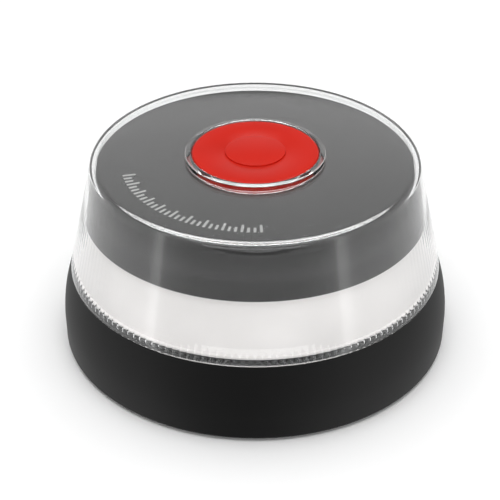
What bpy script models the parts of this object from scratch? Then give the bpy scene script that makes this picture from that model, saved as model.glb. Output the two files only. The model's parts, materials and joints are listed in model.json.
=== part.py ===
"""Electronic road flare: a magnetic puck lamp with a clear fluted dome, a push button and a battery bay.

Run with: blender --background --python part.py
The origin is on the ground under the lamp's axis, with +Z up. Sizes are in millimetres, and the helpers
turn them into metres as they make each mesh.
"""

import math

import bmesh
import bpy
from mathutils import Vector

MM = 0.001
MERGE = 1e-7

# ---- How finely round shapes are divided -----------------------------------------------------------------
SHELL_STEPS = 40
INNER_STEPS = 32
SMALL_STEPS = 10
ARC_STEPS = 2
SHOULDER_STEPS = 4

# ---- Driving dimensions ----------------------------------------------------------------------------------
BASE_RADIUS = 46.1
FOOT_HEIGHT = 0.5
RIM_HEIGHT = 19.0
DOME_FOOT = 19.3
DOME_FOOT_RADIUS = 43.9
DOME_SLOPE = 0.215
DOME_TOP = 46.9
COLLAR_TOP = 48.2
PART_GAP = 0.2
PAST = 1.0
SINK = 0.6

# ---- Base ------------------------------------------------------------------------------------------------
BASE_EDGE = 0.8
BULGE_HEIGHT = 6.5
SHOULDER_ARC = 36.0
BASE_BORE = 42.7
FLOOR_TOP = 3.6
PAD_INNER = 42.1
PAD_OUTER = 44.0
PAD_GROOVE_TOP = 1.2

# ---- Battery bay and its door ----------------------------------------------------------------------------
CELL_RADIUS = 5.2
CELL_LENGTH = 44.3
CELL_PITCH = 11.0
CELL_HEIGHT = 8.9
CELL_COUNT = 4
BAY_HALF = (22.4, 25.0)
BAY_WALL = 1.2
BAY_TOP = 14.1
OPENING_HALF = (22.2, 24.8)
RECESS_HALF = (25.2, 27.8)
RECESS_TOP = 2.5
RECESS_CORNER = 3.0
EAR_Y = 30.6
EAR_RADIUS = 4.0
DOOR_LOW = 0.7
DOOR_HIGH = 1.9
DOOR_GAP = 0.3
CONTACT_Y = 24.6
CONTACT_THICKNESS = 0.4

# ---- Fastener and post places ----------------------------------------------------------------------------
PILOT_BORE = 1.05
CLEARANCE_BORE = 1.3
CASE_SCREW = (2.2, 0.8, 1.0, 13.5)
DOOR_SCREW = (2.2, 0.7, 1.1, 7.0)
INNER_SCREW = (2.1, 1.2, 0.85, 7.5)
INNER_HEAD_RISE = 1.5
CASE_POST = (2.9, 10.7)
CASE_WELL = (2.4, 1.9)
DOOR_POST = (3.2, 12.5)
DOOR_BORE = (1.5, 11.3)
CHASSIS_POST = 2.8
PCB_POST = 2.6
MAGNET_CUP = (1.4, 5.9)
MAGNET_POCKET = (0.3, 1.4)
MAGNET_LOW = 1.6
MAGNET_HIGH = 5.6
CASE_SCREW_CIRCLE = 39.2
CHASSIS_SCREW_XY = (27.0, 14.0)
PCB_SCREW_CIRCLE = 31.0
PCB_SCREW_ANGLES = (90, 225, 315)
MAGNET_X = 33.0
MAGNET_RADIUS = 6.5
LEAD_X = 16.5

# ---- Dome and the cap inside it --------------------------------------------------------------------------
DOME_WALL = 1.3
DOME_TOP_WALL = 1.5
DOME_EDGE = 1.8
SPIGOT_OUTER = 42.4
SPIGOT_INNER = 40.9
SPIGOT_FOOT = 15.9
FLANGE_TOP = 20.3
CAP_WALL = 1.2
CAP_FOOT = 33.4
CAP_TOP = 44.7
CAP_UNDERSIDE = CAP_TOP - 1.5

# ---- Button ----------------------------------------------------------------------------------------------
COLLAR_BORE = 14.7
COLLAR_OUTER = 16.3
BUTTON_RADIUS = 14.4
BUTTON_TOP = 47.6
BOSS_RADIUS = 7.7
BOSS_RISE = 0.3
GUIDE_BORE = 15.8
GUIDE_OUTER = 17.2
GUIDE_FOOT = 37.6
FLANGE_RADIUS = 15.5
SKIRT_FOOT = 38.5
SKIRT_BORE = 12.9
STEM_RADIUS = 2.6
STEM_FOOT = 39.9
RETAINER_TOP = 37.4

# ---- Light engine and electronics ------------------------------------------------------------------------
DRUM_OUTER = 36.7
DRUM_BORE = 35.4
CHASSIS_LOW = 14.4
CHASSIS_FLOOR = 16.0
DRUM_TOP = 34.4
PCB_LOW = 33.0
PCB_HIGH = 34.5
LED_COUNT = 10
LED_SIZE = 5.0
LED_DEPTH = 0.9
LED_HEIGHT = 27.2
LED_BACK = 37.45
DIFFUSER_LOW = 20.7
DIFFUSER_TOP = 33.1
DIFFUSER_WALL = 0.9
DIFFUSER_GAP = 0.6
DIFFUSER_INNER = 37.5


def clear_scene():
    for thing in list(bpy.data.objects):
        bpy.data.objects.remove(thing)


# ---- Finishes --------------------------------------------------------------------------------------------


def finish(name, colour, roughness, metallic=0.0, transmission=0.0):
    """A Principled material, made once for each name."""
    found = bpy.data.materials.get(name)
    if found:
        return found
    made = bpy.data.materials.new(name)
    made.use_nodes = True
    shader = made.node_tree.nodes["Principled BSDF"]
    shader.inputs["Base Color"].default_value = (*colour, 1.0)
    shader.inputs["Roughness"].default_value = roughness
    shader.inputs["Metallic"].default_value = metallic
    shader.inputs["Transmission Weight"].default_value = transmission
    made.diffuse_color = (*colour, 1.0)
    return made


def black_plastic():
    return finish("soft_touch_black", (0.012, 0.012, 0.012), 0.55)


def grey_plastic():
    return finish("dark_grey_plastic", (0.085, 0.083, 0.082), 0.45)


def clear_plastic():
    return finish("clear_polycarbonate", (0.97, 0.98, 0.98), 0.03, transmission=1.0)


def red_plastic():
    return finish("red_button_plastic", (0.6, 0.035, 0.02), 0.35)


def white_plastic():
    return finish("white_diffuser_plastic", (0.8, 0.8, 0.79), 0.5)


def black_rubber():
    return finish("black_rubber", (0.02, 0.02, 0.02), 0.85)


def steel():
    return finish("zinc_plated_steel", (0.62, 0.62, 0.6), 0.3, metallic=1.0)


def nickel():
    return finish("nickel_contact", (0.72, 0.7, 0.66), 0.25, metallic=1.0)


def board():
    return finish("circuit_board", (0.02, 0.12, 0.06), 0.5)


def led_package():
    return finish("led_package", (0.85, 0.83, 0.7), 0.4)


def cell_sleeve():
    return finish("battery_sleeve", (0.05, 0.06, 0.07), 0.35)


def ceramic():
    return finish("antenna_ceramic", (0.55, 0.47, 0.35), 0.6)


def wire_red():
    return finish("lead_insulation", (0.35, 0.03, 0.03), 0.5)


# ---- Shape helpers ---------------------------------------------------------------------------------------


def arc(centre, radius, start, end, steps=ARC_STEPS):
    """Points on an arc from start to end, both in degrees."""
    angles = [math.radians(start + (end - start) * i / steps) for i in range(steps + 1)]
    return [(centre[0] + radius * math.cos(a), centre[1] + radius * math.sin(a)) for a in angles]


def polar(radius, degrees):
    """The X and Y of a point on a circle round the lamp's axis."""
    return radius * math.cos(math.radians(degrees)), radius * math.sin(math.radians(degrees))


def rounded_rectangle(half, corner):
    x, y = half[0] - corner, half[1] - corner
    corners = (((x, y), 0), ((-x, y), 90), ((-x, -y), 180), ((x, -y), 270))
    return [point for centre, start in corners for point in arc(centre, corner, start, start + 90)]


def rectangle(half):
    x, y = half
    return [(x, y), (-x, y), (-x, -y), (x, -y)]


def add_turned(shape, outline, steps, centre=(0, 0)):
    """Spins an outline of (radius, height) points about Z. It is a loop unless both its ends lie on the axis."""
    verts = [shape.verts.new((radius * MM, 0, height * MM)) for radius, height in outline]
    pairs = list(zip(verts, verts[1:]))
    if outline[0][0] > 0 or outline[-1][0] > 0:
        pairs.append((verts[-1], verts[0]))
    edges = [shape.edges.new(pair) for pair in pairs]
    before = set(shape.verts) - set(verts)
    bmesh.ops.spin(
        shape, geom=verts + edges, cent=(0, 0, 0), axis=(0, 0, 1), angle=math.tau, steps=steps, use_merge=True
    )
    made = [vert for vert in shape.verts if vert not in before]
    bmesh.ops.remove_doubles(shape, verts=made, dist=MERGE)
    made = [vert for vert in shape.verts if vert not in before]
    bmesh.ops.translate(shape, verts=made, vec=(centre[0] * MM, centre[1] * MM, 0))


def add_cylinder(shape, centre, radius, low, high, steps=SMALL_STEPS):
    add_turned(shape, [(0, low), (radius, low), (radius, high), (0, high)], steps, centre)


def add_prism(shape, outline, low, high):
    """Raises an outline of (x, y) points into a closed prism."""
    bottom = [shape.verts.new((x * MM, y * MM, low * MM)) for x, y in outline]
    top = [shape.verts.new((x * MM, y * MM, high * MM)) for x, y in outline]
    shape.faces.new(bottom)
    shape.faces.new(top)
    bottom_edges = [shape.edges.get((a, b)) for a, b in zip(bottom, bottom[1:] + bottom[:1])]
    top_edges = [shape.edges.get((a, b)) for a, b in zip(top, top[1:] + top[:1])]
    bmesh.ops.bridge_loops(shape, edges=bottom_edges + top_edges)


def make_object(name, shape, material):
    """Closes a bmesh into an object with outward faces and smooth round sides."""
    bmesh.ops.recalc_face_normals(shape, faces=shape.faces)
    mesh = bpy.data.meshes.new(name)
    shape.to_mesh(mesh)
    shape.free()
    mesh.materials.append(material)
    mesh.shade_smooth()
    mesh.set_sharp_from_angle(angle=math.radians(35))
    made = bpy.data.objects.new(name, mesh)
    bpy.context.collection.objects.link(made)
    return made


def turned(name, outline, material, steps=SHELL_STEPS):
    shape = bmesh.new()
    add_turned(shape, outline, steps)
    return make_object(name, shape, material)


def boolean(target, tool, operation, solver="EXACT"):
    """Joins or cuts target with tool, which is a helper and not a part."""
    modifier = target.modifiers.new(tool.name, "BOOLEAN")
    modifier.operation = operation
    modifier.object = tool
    modifier.solver = solver
    tool.hide_render = True
    tool.display_type = "WIRE"


def helper(name, add_shapes, material):
    """One helper object for a Boolean, from a function that adds separate closed shapes."""
    shape = bmesh.new()
    add_shapes(shape)
    return make_object(name, shape, material)


def settle(thing):
    """Turns an object's modifiers into its mesh, so that copies can share it."""
    graph = bpy.context.evaluated_depsgraph_get()
    mesh = bpy.data.meshes.new_from_object(thing.evaluated_get(graph))
    thing.modifiers.clear()
    thing.data = mesh
    return thing


def place(thing, location, rotation=(0, 0, 0)):
    """Puts an object at a place in millimetres, turned by degrees about X, Y and Z."""
    thing.location = Vector(location) * MM
    thing.rotation_euler = [math.radians(angle) for angle in rotation]
    return thing


def copy_of(original, name):
    made = bpy.data.objects.new(name, original.data)
    bpy.context.collection.objects.link(made)
    return made


def swept(name, points, radius, material):
    """A round wire along points, as a curve with a bevel and filled caps."""
    curve = bpy.data.curves.new(name, "CURVE")
    curve.dimensions = "3D"
    curve.bevel_depth = radius * MM
    curve.bevel_resolution = 0
    curve.use_fill_caps = True
    spline = curve.splines.new("POLY")
    spline.points.add(len(points) - 1)
    for point, (x, y, z) in zip(spline.points, points):
        point.co = (x * MM, y * MM, z * MM, 1)
    curve.materials.append(material)
    made = bpy.data.objects.new(name, curve)
    bpy.context.collection.objects.link(made)
    return made


def helix(foot_radius, tip_radius, length, turns, steps_per_turn):
    """Points up a coil about Z, from foot_radius at 0 to tip_radius at length."""
    count = round(turns * steps_per_turn)
    points = []
    for i in range(count + 1):
        share = i / count
        radius = foot_radius + (tip_radius - foot_radius) * share
        points.append((*polar(radius, 360 * turns * share), length * share))
    return points


def parent_empty(name, height, *children):
    """An empty on the lamp's axis that a moving group hangs from."""
    empty = bpy.data.objects.new(name, None)
    empty.location = (0, 0, height * MM)
    bpy.context.collection.objects.link(empty)
    for child in children:
        child.parent = empty
        child.matrix_parent_inverse.translation = (0, 0, -height * MM)


# ---- Shared outlines -------------------------------------------------------------------------------------


def dome_outer(height):
    """Radius of the dome's outer cone."""
    return DOME_FOOT_RADIUS - DOME_SLOPE * (height - DOME_FOOT)


def dome_inner(height):
    return dome_outer(height) - DOME_WALL


def case_screw_places():
    return [polar(CASE_SCREW_CIRCLE, 45 + 90 * i) for i in range(4)]


def chassis_screw_places():
    x, y = CHASSIS_SCREW_XY
    return [(x, y), (-x, y), (-x, -y), (x, -y)]


def pcb_screw_places():
    return [polar(PCB_SCREW_CIRCLE, angle) for angle in PCB_SCREW_ANGLES]


def cell_places():
    """X of each cell and the way its button end points along Y."""
    return [((i - (CELL_COUNT - 1) / 2) * CELL_PITCH, 1 if i % 2 == 0 else -1) for i in range(CELL_COUNT)]


# ---- Base ------------------------------------------------------------------------------------------------


def base_outline():
    """The cup: flat underside, small bottom edge, a barrel bulge and a thin rim."""
    edge_centre = (BASE_RADIUS - 0.1 - BASE_EDGE, FOOT_HEIGHT + BASE_EDGE)
    shoulder_end = math.degrees(math.asin((RIM_HEIGHT - BULGE_HEIGHT) / SHOULDER_ARC))
    shoulder_centre = (BASE_RADIUS - SHOULDER_ARC, BULGE_HEIGHT)
    return [
        (0, FOOT_HEIGHT),
        *arc(edge_centre, BASE_EDGE, -90, 0),
        *arc(shoulder_centre, SHOULDER_ARC, 0, shoulder_end, SHOULDER_STEPS),
        (BASE_BORE, RIM_HEIGHT),
        (BASE_BORE, FLOOR_TOP),
        (0, FLOOR_TOP),
    ]


def add_base_posts(shape):
    """What stands up from the floor: bay block, chassis posts, case standoffs, magnet cups, door posts."""
    sunk = FLOOR_TOP - SINK
    add_prism(shape, rectangle([half + BAY_WALL for half in BAY_HALF]), sunk, BAY_TOP)
    for place_xy in chassis_screw_places():
        add_cylinder(shape, place_xy, CHASSIS_POST, sunk, BAY_TOP)
    for place_xy in case_screw_places():
        add_cylinder(shape, place_xy, CASE_POST[0], sunk, CASE_POST[1])
    for side in (-1, 1):
        cup_radius = MAGNET_RADIUS + MAGNET_CUP[0]
        add_cylinder(shape, (side * MAGNET_X, 0), cup_radius, sunk, MAGNET_CUP[1], 2 * SMALL_STEPS)
        add_cylinder(shape, (0, side * EAR_Y), DOOR_POST[0], sunk, DOOR_POST[1])


def add_base_bores(shape):
    """Bay, screw bores and magnet pockets, none of which meet each other."""
    add_prism(shape, rectangle(BAY_HALF), FLOOR_TOP, BAY_TOP + PAST)
    for place_xy in case_screw_places():
        add_cylinder(shape, place_xy, CLEARANCE_BORE, -PAST, CASE_POST[1] + PAST)
    for place_xy in chassis_screw_places():
        add_cylinder(shape, place_xy, PILOT_BORE, 6, BAY_TOP + PAST)
    for side in (-1, 1):
        pocket_radius = MAGNET_RADIUS + MAGNET_POCKET[0]
        add_cylinder(shape, (side * MAGNET_X, 0), pocket_radius, MAGNET_POCKET[1], 8, 2 * SMALL_STEPS)
        add_cylinder(shape, (0, side * EAR_Y), DOOR_BORE[0], -PAST, DOOR_BORE[1])


def add_base_underside(shape):
    """Bay opening, pad groove and the case screws' counterbores."""
    add_prism(shape, rectangle(OPENING_HALF), -PAST, FLOOR_TOP + PAST)
    groove = (PAD_INNER - PART_GAP, PAD_OUTER + PART_GAP)
    ring = [(groove[0], -PAST), (groove[1], -PAST), (groove[1], PAD_GROOVE_TOP), (groove[0], PAD_GROOVE_TOP)]
    add_turned(shape, ring, SHELL_STEPS)
    for place_xy in case_screw_places():
        add_cylinder(shape, place_xy, CASE_WELL[0], -PAST, CASE_WELL[1])


def add_door_ears(shape, radius, low, high):
    for side in (-1, 1):
        add_cylinder(shape, (0, side * EAR_Y), radius, low, high, 2 * SMALL_STEPS)


def add_recess(shape):
    add_prism(shape, rounded_rectangle(RECESS_HALF, RECESS_CORNER), -PAST, RECESS_TOP)


def add_ear_recess(shape):
    add_door_ears(shape, EAR_RADIUS, -PAST, RECESS_TOP)


def make_base():
    """The cup with its posts. Its crossing cuts need the MANIFOLD solver, because EXACT leaves open edges."""
    material = black_plastic()
    base = turned("base_housing", base_outline(), material)
    boolean(base, helper("base_posts", add_base_posts, material), "UNION", "MANIFOLD")
    for name, add_shapes in (
        ("base_bores", add_base_bores),
        ("base_underside", add_base_underside),
        ("door_recess", add_recess),
        ("ear_recess", add_ear_recess),
    ):
        boolean(base, helper(name, add_shapes, material), "DIFFERENCE", "MANIFOLD")


def make_foot_pad():
    chamfer = 0.2
    outline = [
        (PAD_INNER, 0),
        (PAD_OUTER - chamfer, 0),
        (PAD_OUTER, chamfer),
        (PAD_OUTER, PAD_GROOVE_TOP - PART_GAP),
        (PAD_INNER, PAD_GROOVE_TOP - PART_GAP),
    ]
    turned("foot_pad", outline, black_rubber())


def make_magnets():
    chamfer = 0.4
    outline = [
        (0, MAGNET_LOW),
        (MAGNET_RADIUS, MAGNET_LOW),
        (MAGNET_RADIUS, MAGNET_HIGH - chamfer),
        (MAGNET_RADIUS - chamfer, MAGNET_HIGH),
        (0, MAGNET_HIGH),
    ]
    first = turned("magnet_1", outline, steel(), 2 * SMALL_STEPS)
    place(first, (MAGNET_X, 0, 0))
    place(copy_of(first, "magnet_2"), (-MAGNET_X, 0, 0))


# ---- Battery bay -----------------------------------------------------------------------------------------


def make_cells():
    """Four cells side by side, pointing opposite ways by turns, each against its plate at the button end."""
    nub, nub_radius, chamfer, end_gap = 1.0, 1.9, 0.4, 0.3
    shoulder = CELL_LENGTH - nub
    outline = [
        (0, 0),
        (CELL_RADIUS, 0),
        (CELL_RADIUS, shoulder - chamfer),
        (CELL_RADIUS - chamfer, shoulder),
        (nub_radius, shoulder),
        (nub_radius, CELL_LENGTH),
        (0, CELL_LENGTH),
    ]
    first = turned("battery_cell_1", outline, cell_sleeve(), 2 * SMALL_STEPS)
    flat_end = CONTACT_Y - CONTACT_THICKNESS / 2 - end_gap - CELL_LENGTH
    for i, (x, way) in enumerate(cell_places()):
        cell = first if i == 0 else copy_of(first, f"battery_cell_{i + 1}")
        place(cell, (x, way * flat_end, CELL_HEIGHT), (-90 * way, 0, 0))


def make_contacts():
    """Two end plates and three bridges put the cells in series, and a coil presses on each flat end."""
    low, high = 4.4, 13.2
    single, bridge = 4.5, 10.0
    plates = (
        ("contact_positive", -1.5 * CELL_PITCH, 1, single),
        ("contact_negative", 1.5 * CELL_PITCH, 1, single),
        ("contact_bridge_1", -CELL_PITCH, -1, bridge),
        ("contact_bridge_2", 0, 1, bridge),
        ("contact_bridge_3", CELL_PITCH, -1, bridge),
    )
    for name, x, side, half in plates:
        shape = bmesh.new()
        add_prism(shape, rounded_rectangle((half, (high - low) / 2), 1.2), 0, CONTACT_THICKNESS)
        plate = make_object(name, shape, nickel())
        inner_face = side * (CONTACT_Y - CONTACT_THICKNESS / 2)
        place(plate, (x, inner_face, (low + high) / 2), (-90 * side, 0, 0))
    wire = 0.3
    coil = helix(3.6, 2.5, 3.0, 2.5, 11)
    for i, (x, way) in enumerate(cell_places()):
        spring = swept(f"contact_spring_{i + 1}", coil, wire, nickel())
        foot = CONTACT_Y - CONTACT_THICKNESS / 2 - wire - PART_GAP
        place(spring, (x, -way * foot, CELL_HEIGHT), (-90 * way, 0, 0))


def make_leads():
    """Two insulated wires from the end contacts up to the circuit board."""
    low, high, count = 13.6, PCB_LOW - 0.3, 14
    end = (11.0, 20.0)
    for name, side in (("positive_lead", -1), ("negative_lead", 1)):
        points = []
        for i in range(count):
            share = i / (count - 1)
            eased = share * share * (3 - 2 * share)
            x = LEAD_X + (end[0] - LEAD_X) * eased
            y = CONTACT_Y + (end[1] - CONTACT_Y) * eased
            points.append((side * x, y, low + (high - low) * share))
        swept(name, points, 0.6, wire_red())


def make_door():
    """A flush plate with a locating rim, two screw ears, its gasket and two captive screws."""
    material = black_plastic()
    plate_half = [half - DOOR_GAP for half in RECESS_HALF]
    rim_half = [half - 0.4 for half in OPENING_HALF]
    rim_wall, head_seat = 1.2, 1.6
    shape = bmesh.new()
    add_prism(shape, rounded_rectangle(plate_half, RECESS_CORNER - DOOR_GAP), DOOR_LOW, DOOR_HIGH)
    door = make_object("battery_door", shape, material)

    def add_ears(shape):
        add_door_ears(shape, EAR_RADIUS - DOOR_GAP, DOOR_LOW, DOOR_HIGH)

    def add_rim(shape):
        add_prism(shape, rounded_rectangle(rim_half, 1.5), DOOR_HIGH - SINK, FLOOR_TOP - PART_GAP)

    def add_rim_hollow(shape):
        inner = [half - rim_wall for half in rim_half]
        add_prism(shape, rounded_rectangle(inner, 1.0), DOOR_HIGH, FLOOR_TOP + PAST)

    def add_screw_holes(shape):
        head, bore = DOOR_SCREW[0] + DOOR_GAP, CLEARANCE_BORE
        stepped = [(0, -PAST), (head, -PAST), (head, head_seat)]
        stepped += [(bore, head_seat), (bore, FLOOR_TOP), (0, FLOOR_TOP)]
        for side in (-1, 1):
            add_turned(shape, stepped, SMALL_STEPS, (0, side * EAR_Y))

    boolean(door, helper("door_ears", add_ears, material), "UNION")
    boolean(door, helper("door_rim", add_rim, material), "UNION")
    boolean(door, helper("door_rim_hollow", add_rim_hollow, material), "DIFFERENCE")
    boolean(door, helper("door_screw_holes", add_screw_holes, material), "DIFFERENCE")

    shape = bmesh.new()
    add_prism(shape, rounded_rectangle([half - 0.7 for half in RECESS_HALF], 2.2), 2.0, 2.4)
    gasket = make_object("battery_door_gasket", shape, black_rubber())

    def add_gasket_hole(shape):
        add_prism(shape, rounded_rectangle([half + 0.2 for half in OPENING_HALF], 1.6), 1, 3)

    boolean(gasket, helper("gasket_hole", add_gasket_hole, black_rubber()), "DIFFERENCE")

    screws = []
    for i, side in enumerate((1, -1)):
        screw = make_screw(f"door_screw_{i + 1}", *DOOR_SCREW)
        screws.append(place(screw, (0, side * EAR_Y, 0.8)))
    parent_empty("battery_door_slide", DOOR_LOW, door, gasket, *screws)


# ---- Screws ----------------------------------------------------------------------------------------------


def make_screw(name, head_radius, head_height, shank_radius, shank_length):
    """A pan-head screw that points up from a head resting on Z = 0, with a cross recess."""
    outline = [
        (0, 0),
        (head_radius, 0),
        (head_radius, head_height),
        (shank_radius, head_height),
        (shank_radius, head_height + shank_length - shank_radius),
        (0, head_height + shank_length),
    ]
    screw = turned(name, outline, steel(), SMALL_STEPS)
    depth = head_height * 0.6
    arm, half = head_radius * 0.6, head_radius * 0.14

    def add_cross(shape):
        cross = [(half, half), (half, arm), (-half, arm), (-half, half)]
        cross += [(-arm, half), (-arm, -half), (-half, -half), (-half, -arm)]
        cross += [(half, -arm), (half, -half), (arm, -half), (arm, half)]
        add_prism(shape, cross, -PAST, depth)

    cutter = helper(f"{name}_cross", add_cross, steel())
    boolean(screw, cutter, "DIFFERENCE")
    settle(screw)
    bpy.data.objects.remove(cutter)
    return screw


def make_screw_set(prefix, places, height, upside_down, sizes):
    """The same screw at several places. Screws driven from above hang head up."""
    first = make_screw(f"{prefix}_1", *sizes)
    for i, (x, y) in enumerate(places):
        screw = first if i == 0 else copy_of(first, f"{prefix}_{i + 1}")
        place(screw, (x, y, height), (180, 0, 0) if upside_down else (0, 0, 0))


# ---- Chassis and light engine ----------------------------------------------------------------------------


def make_chassis():
    """A floor over the battery bay with an upright drum that carries the lights and the circuit board."""
    material = white_plastic()
    outline = [
        (0, CHASSIS_LOW),
        (DRUM_OUTER, CHASSIS_LOW),
        (DRUM_OUTER, DRUM_TOP),
        (DRUM_BORE, DRUM_TOP),
        (DRUM_BORE, CHASSIS_FLOOR),
        (0, CHASSIS_FLOOR),
    ]
    chassis = turned("chassis", outline, material, INNER_STEPS)

    def add_posts(shape):
        for place_xy in pcb_screw_places():
            add_cylinder(shape, place_xy, PCB_POST, CHASSIS_FLOOR - SINK, PCB_LOW - 0.3)

    def add_holes(shape):
        for place_xy in pcb_screw_places():
            add_cylinder(shape, place_xy, PILOT_BORE, 24, PCB_LOW + PAST)
        for place_xy in chassis_screw_places():
            add_cylinder(shape, place_xy, CLEARANCE_BORE, CHASSIS_LOW - PAST, CHASSIS_FLOOR + PAST)
        for side in (-1, 1):
            lead_place = (side * LEAD_X, CONTACT_Y)
            add_cylinder(shape, lead_place, CLEARANCE_BORE, CHASSIS_LOW - PAST, CHASSIS_FLOOR + PAST)

    boolean(chassis, helper("chassis_posts", add_posts, material), "UNION")
    boolean(chassis, helper("chassis_holes", add_holes, material), "DIFFERENCE")


def make_light_engine():
    """A flexible strip round the drum, its side-facing lights and the white cone that spreads their light."""
    strip = [(36.9, 22.2), (37.3, 22.2), (37.3, 32.0), (36.9, 32.0)]
    turned("led_strip", strip, board(), INNER_STEPS)

    shape = bmesh.new()
    add_prism(shape, rectangle((LED_SIZE / 2, LED_SIZE / 2)), 0, LED_DEPTH)
    first = make_object("led_01", shape, led_package())
    for i in range(LED_COUNT):
        angle = 360 * i / LED_COUNT
        led = first if i == 0 else copy_of(first, f"led_{i + 1:02d}")
        place(led, (*polar(LED_BACK, angle), LED_HEIGHT), (0, 90, angle))

    def outer(height):
        return dome_inner(height) - DIFFUSER_GAP

    floor_top = DIFFUSER_LOW + DIFFUSER_WALL
    outline = [
        (DIFFUSER_INNER, DIFFUSER_LOW),
        (outer(DIFFUSER_LOW), DIFFUSER_LOW),
        (outer(DIFFUSER_TOP), DIFFUSER_TOP),
        (outer(DIFFUSER_TOP) - DIFFUSER_WALL, DIFFUSER_TOP),
        (outer(floor_top) - DIFFUSER_WALL, floor_top),
        (DIFFUSER_INNER, floor_top),
    ]
    turned("diffuser_ring", outline, white_plastic(), INNER_STEPS)


def make_electronics():
    """The circuit board with its radio module, satellite antenna and push switch."""
    disc = bmesh.new()
    add_cylinder(disc, (0, 0), DRUM_BORE - 0.3, PCB_LOW, PCB_HIGH, INNER_STEPS)
    main_board = make_object("main_pcb", disc, board())

    def add_holes(shape):
        for place_xy in pcb_screw_places():
            add_cylinder(shape, place_xy, CLEARANCE_BORE, PCB_LOW - PAST, PCB_HIGH + PAST)

    boolean(main_board, helper("pcb_holes", add_holes, board()), "DIFFERENCE")

    for name, angle, half, height, material in (
        ("cellular_module", 150, (6.0, 8.0), 2.4, nickel()),
        ("gnss_antenna", 30, (6.0, 6.0), 4.0, ceramic()),
    ):
        shape = bmesh.new()
        add_prism(shape, rounded_rectangle(half, 0.8), 0, height)
        part = make_object(name, shape, material)
        place(part, (*polar(25.3, angle), PCB_HIGH + PART_GAP), (0, 0, angle))

    body_low, body_high = PCB_HIGH + PART_GAP, 38.2
    shape = bmesh.new()
    add_prism(shape, rounded_rectangle((3.0, 3.0), 0.5), body_low, body_high)
    body = make_object("switch_body", shape, black_plastic())

    def add_well(shape):
        add_cylinder(shape, (0, 0), 2.0, 36.7, body_high + 1)

    boolean(body, helper("switch_well", add_well, black_plastic()), "DIFFERENCE")
    plunger_low, plunger_high = 37.5, 39.6
    outline = [
        (0, plunger_low),
        (1.7, plunger_low),
        (1.7, plunger_high - 0.2),
        (1.5, plunger_high),
        (0, plunger_high),
    ]
    plunger = turned("switch_plunger", outline, black_plastic(), SMALL_STEPS)
    parent_empty("switch_plunger_axis", plunger_high, plunger)


# ---- Dome, cap and button --------------------------------------------------------------------------------


def make_dome():
    """The clear dome: a spigot that plugs into the base, the cone, a flat top and a raised collar."""
    material = clear_plastic()
    top_inner = DOME_TOP - DOME_TOP_WALL
    groove_low, groove_high, groove_radius = 16.6, 17.8, 41.5
    lean = math.degrees(math.atan(DOME_SLOPE))
    edge_x = dome_outer(DOME_TOP - DOME_EDGE) - DOME_EDGE / math.cos(math.radians(lean))
    collar_edge = 0.6
    outline = [
        (SPIGOT_INNER, SPIGOT_FOOT),
        (SPIGOT_OUTER, SPIGOT_FOOT),
        (SPIGOT_OUTER, groove_low),
        (groove_radius, groove_low),
        (groove_radius, groove_high),
        (SPIGOT_OUTER, groove_high),
        (SPIGOT_OUTER, DOME_FOOT),
        (DOME_FOOT_RADIUS, DOME_FOOT),
        *arc((edge_x, DOME_TOP - DOME_EDGE), DOME_EDGE, lean, 90, 4),
        (COLLAR_OUTER + 0.3, DOME_TOP),
        (COLLAR_OUTER, DOME_TOP + 0.3),
        *arc((COLLAR_OUTER - 0.1 - collar_edge, COLLAR_TOP - collar_edge), collar_edge, 0, 90),
        (COLLAR_BORE + 0.3, COLLAR_TOP),
        (COLLAR_BORE, COLLAR_TOP - 0.3),
        (COLLAR_BORE, top_inner),
        (dome_inner(top_inner), top_inner),
        (dome_inner(FLANGE_TOP), FLANGE_TOP),
        (SPIGOT_INNER, FLANGE_TOP),
    ]
    dome = turned("dome_lens", outline, material)

    def add_bosses(shape):
        for place_xy in case_screw_places():
            add_cylinder(shape, place_xy, 2.1, 11.0, 19.9)

    def add_bores(shape):
        for place_xy in case_screw_places():
            add_cylinder(shape, place_xy, 1.15, 10, 18.4)

    boolean(dome, helper("dome_bosses", add_bosses, material), "UNION")
    boolean(dome, helper("dome_bores", add_bores, material), "DIFFERENCE")


def ring_seal(name, radius, height, thickness, steps):
    """A rubber ring of round section."""
    outline = arc((radius, height), thickness / 2, 0, 360, 6)[:-1]
    return turned(name, outline, black_rubber(), steps)


def make_inner_cap():
    """The dark cap seen through the dome, with the button's guide tube under it."""

    def outer(height):
        return dome_inner(height) - PART_GAP

    edge = 0.6
    hole = COLLAR_BORE + 0.1
    outline = [
        (hole, CAP_TOP),
        *arc((outer(CAP_TOP) - edge, CAP_TOP - edge), edge, 90, 0),
        (outer(CAP_FOOT), CAP_FOOT),
        (outer(CAP_FOOT) - CAP_WALL, CAP_FOOT),
        (outer(CAP_UNDERSIDE) - CAP_WALL, CAP_UNDERSIDE),
        (GUIDE_OUTER, CAP_UNDERSIDE),
        (GUIDE_OUTER, GUIDE_FOOT),
        (GUIDE_BORE, GUIDE_FOOT),
        (GUIDE_BORE, CAP_UNDERSIDE),
        (hole, CAP_UNDERSIDE),
    ]
    turned("inner_cap", outline, grey_plastic())


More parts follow.
